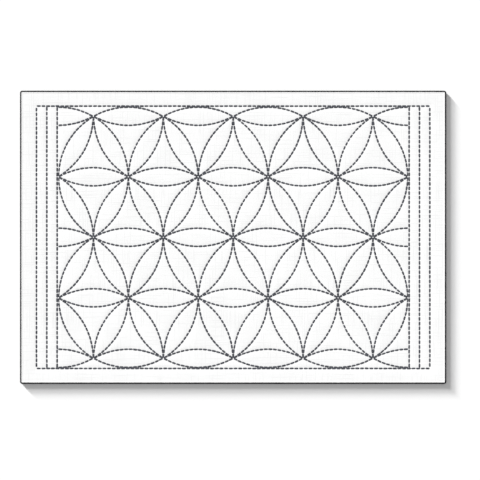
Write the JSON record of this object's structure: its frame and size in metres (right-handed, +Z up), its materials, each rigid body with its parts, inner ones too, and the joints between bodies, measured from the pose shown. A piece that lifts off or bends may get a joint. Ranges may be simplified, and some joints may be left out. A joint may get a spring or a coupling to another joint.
{
  "type": "sashiko place mat",
  "caption": "Flat white cotton mat with a rolled hem, hand-stitched in dark thread with overlapping circles inside a ruled border.",
  "frame": {"origin": "middle of the flat underside", "axes": "+X along the long side, +Y along the short side, +Z up out of the stitched face"},
  "size_m": [0.4392, 0.3022, 0.0021],
  "materials": {
    "cloth": "bleached plain-weave cotton, matt, with small slubs",
    "thread": "twisted cotton thread, dark slate blue, soft and matt"
  },
  "bodies": {
    "root": {"cloth": "cloth", "circle_stitching": "thread", "border_stitching": "thread"}
  },
  "joints": []
}
